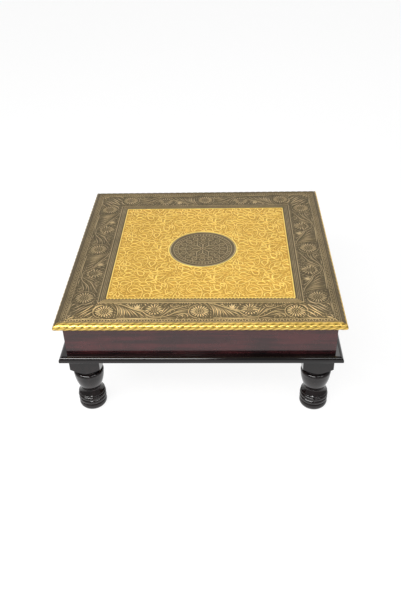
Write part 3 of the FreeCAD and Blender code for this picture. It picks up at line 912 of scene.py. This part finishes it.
PAPER_HALF = 9.0
WALL_AT = 3.4
WALL_HEIGHT = 6.0
ROOM_PAPER = (0.80, 0.80, 0.80, 1)
SEEN_PAPER = (0.16, 0.16, 0.16, 1)
SEEN_GLOW = 0.90
paper_paint = new_finish("paper_paint")
paint_tree = paper_paint.node_tree
paint_tree.nodes.remove(paint_tree.nodes["Principled BSDF"])
path = paint_tree.nodes.new("ShaderNodeLightPath").outputs
seen = path["Is Camera Ray"]
for other in ("Is Glossy Ray", "Is Transmission Ray"):
    seen = add(paper_paint, "Math", {"operation": "MAXIMUM"}, _0=seen, _1=path[other])
room_paper = add(paper_paint, "BsdfDiffuse", Color=ROOM_PAPER)
seen_paper = add(paper_paint, "BsdfDiffuse", Color=SEEN_PAPER)
seen_glow = add(paper_paint, "Emission", Strength=SEEN_GLOW)
seen_both = add(paper_paint, "AddShader", _0=seen_paper, _1=seen_glow)
paper_surface = add(paper_paint, "MixShader", _0=seen, _1=room_paper, _2=seen_both)
paint_tree.links.new(paper_surface, paint_tree.nodes["Material Output"].inputs["Surface"])
for name, corners in (
        ("floor", [(-PAPER_HALF, -PAPER_HALF, 0), (PAPER_HALF, -PAPER_HALF, 0),
                   (PAPER_HALF, WALL_AT, 0), (-PAPER_HALF, WALL_AT, 0)]),
        ("backdrop", [(-PAPER_HALF, WALL_AT, 0), (PAPER_HALF, WALL_AT, 0),
                      (PAPER_HALF, WALL_AT, WALL_HEIGHT), (-PAPER_HALF, WALL_AT, WALL_HEIGHT)])):
    paper = plain_mesh(name, corners, [(0, 1, 2, 3)])
    paper.materials.append(paper_paint)
    linked(name, paper)


# Lamps and room
# A long soft box in front, above and to the left, a narrow one to the right of it, a weak one high up
# behind, and plain grey walls all round.

def soft_box(name, place, aim, width, height, watts):
    """A rectangular lamp turned to what it lights."""
    lamp = bpy.data.lights.new(name, "AREA")
    lamp.shape = "RECTANGLE"
    lamp.size = width
    lamp.size_y = height
    lamp.energy = watts
    made = bpy.data.objects.new(name, lamp)
    made.location = place
    made.rotation_euler = (Vector(aim) - Vector(place)).to_track_quat("-Z", "Y").to_euler()
    bpy.context.scene.collection.objects.link(made)


soft_box("front_soft_box", (-0.80, -1.05, 1.50), (-0.1, -0.1, 0.15), width=1.9, height=0.28, watts=33.0)
soft_box("front_strip_lamp", (0.80, -1.05, 1.50), (0.1, -0.1, 0.15), width=1.1, height=0.09, watts=4.4)
soft_box("back_soft_box", (0.2, 1.4, 1.9), (0, 0, 0.15), width=1.2, height=0.8, watts=4.6)
room = bpy.data.worlds.new("grey_room")
bpy.context.scene.world = room
room.use_nodes = True
background = room.node_tree.nodes["Background"]
background.inputs["Color"].default_value = (1, 1, 1, 1)
background.inputs["Strength"].default_value = 0.32


# Camera
# At the photograph's viewing angle, found from the square top.

CAMERA_PLACE = Vector((0.0435, -1.0434, 0.8277))
CAMERA_YAW = -0.0501
CAMERA_PITCH = 0.6213
CAMERA_ROLL = 0.0337
FOCAL_PIXELS = 672.98
MIDDLE_PIXELS = (199.69, 300.46)
PHOTO_PIXELS = (401, 601)
ahead = Vector((math.sin(CAMERA_YAW) * math.cos(CAMERA_PITCH),
                math.cos(CAMERA_YAW) * math.cos(CAMERA_PITCH), -math.sin(CAMERA_PITCH)))
level = Vector((math.cos(CAMERA_YAW), -math.sin(CAMERA_YAW), 0))
down = ahead.cross(level)
right = level * math.cos(CAMERA_ROLL) + down * math.sin(CAMERA_ROLL)
below = down * math.cos(CAMERA_ROLL) - level * math.sin(CAMERA_ROLL)
camera_data = bpy.data.cameras.new("camera")
camera_data.sensor_width = 36.0
camera_data.lens = FOCAL_PIXELS * camera_data.sensor_width / PHOTO_PIXELS[1]
camera_data.shift_x = (PHOTO_PIXELS[0] / 2 - MIDDLE_PIXELS[0]) / PHOTO_PIXELS[1]
camera_data.shift_y = (MIDDLE_PIXELS[1] - PHOTO_PIXELS[1] / 2) / PHOTO_PIXELS[1]
camera = bpy.data.objects.new("camera", camera_data)
bpy.context.scene.collection.objects.link(camera)
facing = Matrix((right, -below, -ahead)).transposed().to_4x4()
camera.matrix_world = Matrix.Translation(CAMERA_PLACE) @ facing
bpy.context.scene.camera = camera
bpy.context.scene.view_settings.view_transform = "Standard"
